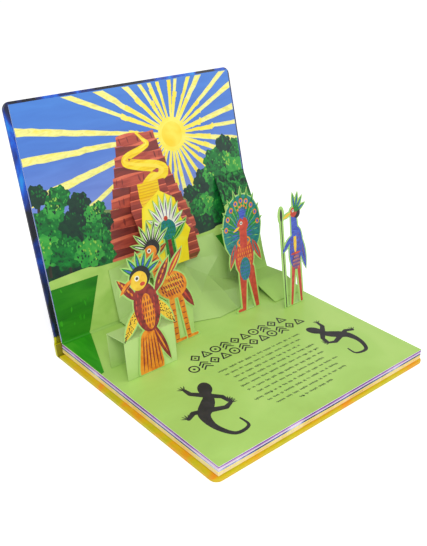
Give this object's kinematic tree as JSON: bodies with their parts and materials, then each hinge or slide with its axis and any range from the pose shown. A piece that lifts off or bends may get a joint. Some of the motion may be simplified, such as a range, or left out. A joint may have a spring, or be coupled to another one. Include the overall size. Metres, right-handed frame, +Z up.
{
  "type": "pop up book",
  "caption": "Hardback pop-up book standing open at its first spread, with folded card scenery and die-cut figures that rise between its pages.",
  "frame": {"origin": "underside of the back cover, below the middle of the pages", "axes": "+Z up, +X along the spine to the right as it is read, -Y towards the fore-edge and the reader"},
  "size_m": [0.2575, 0.2835, 0.2236],
  "materials": {
    "front_board": "satin printed laminate, deep blue",
    "case_board": "satin printed laminate, olive yellow",
    "joint_cloth": "satin printed laminate, creased at the joint",
    "leaves": "cut edges of printed card leaves",
    "lower_print": "smooth printed card, light green",
    "upright_print": "smooth printed card, sky and trees",
    "green_card": "smooth printed card, light green",
    "brick_card": "smooth printed card, terracotta",
    "yellow_card": "smooth printed card, yellow",
    "figure_card": "smooth printed card with a light green rim"
  },
  "bodies": {
    "back_case": {"back_cover": "case_board", "page_block": "leaves", "lower_page": "lower_print", "hill_sheet": "green_card", "right_sweep": "green_card", "left_step": "green_card", "middle_step": "green_card", "parrot_cutout": "figure_card", "crane_cutout": "figure_card", "fan_bird_cutout": "figure_card", "heron_cutout": "figure_card"},
    "front_case": {"front_cover": "front_board", "upright_page": "upright_print", "stair_ramp": "brick_card", "sun_card": "yellow_card", "fan_plant_cutout": "figure_card"},
    "spine_board": {"spine": "case_board", "front_joint": "joint_cloth"}
  },
  "joints": [
    {"name": "cover_hinge", "type": "hinge", "parent": "back_case", "child": "front_case", "pos_m": [0, 0.1085, 0.013], "axis": [-1, 0, 0], "range_deg": [-104, 74], "deforming": ["front_joint", "hill_sheet", "right_sweep", "left_step", "middle_step", "stair_ramp", "sun_card", "fan_plant_cutout", "parrot_cutout", "crane_cutout", "fan_bird_cutout", "heron_cutout"]},
    {"name": "spine_hinge", "type": "hinge", "parent": "back_case", "child": "spine_board", "pos_m": [0, 0.109, 0.0005], "axis": [-1, 0, 0], "range_deg": [-12, 8.6]}
  ],
  "couplings": [
    {"joint": "spine_hinge", "follows": "cover_hinge", "ratio": 0.1132}
  ]
}
